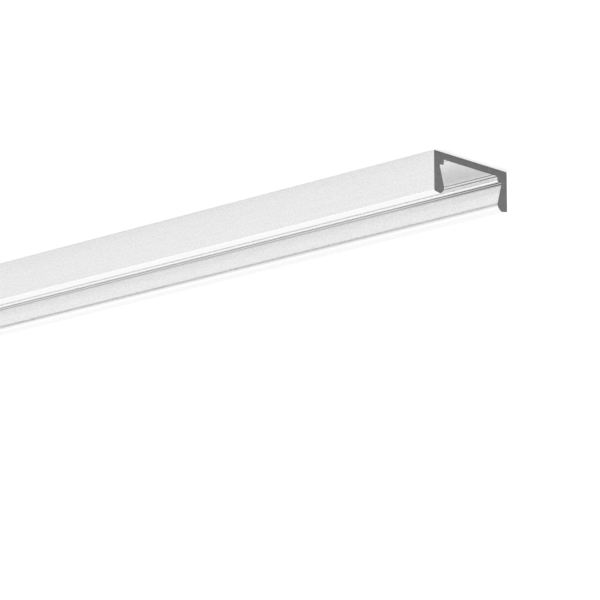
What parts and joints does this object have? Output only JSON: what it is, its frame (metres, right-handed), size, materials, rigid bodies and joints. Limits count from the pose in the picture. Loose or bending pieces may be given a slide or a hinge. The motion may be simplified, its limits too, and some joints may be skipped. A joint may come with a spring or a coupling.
{
  "type": "led strip aluminium profile",
  "caption": "Shallow extruded aluminium U-channel for an LED strip: flat back, shouldered bed, undercut walls and rounded snap-in lips, square-cut ends.",
  "frame": {"origin": "middle of the flat back, at the bottom centre of the bounding box", "axes": "+X along the length, +Y across the width, +Z from the back out of the channel's opening"},
  "size_m": [0.3, 0.0152, 0.006],
  "materials": {
    "anodised_aluminium": "satin natural anodised, bare sawn ends"
  },
  "bodies": {
    "root": {"channel_profile": "anodised_aluminium"}
  },
  "joints": []
}
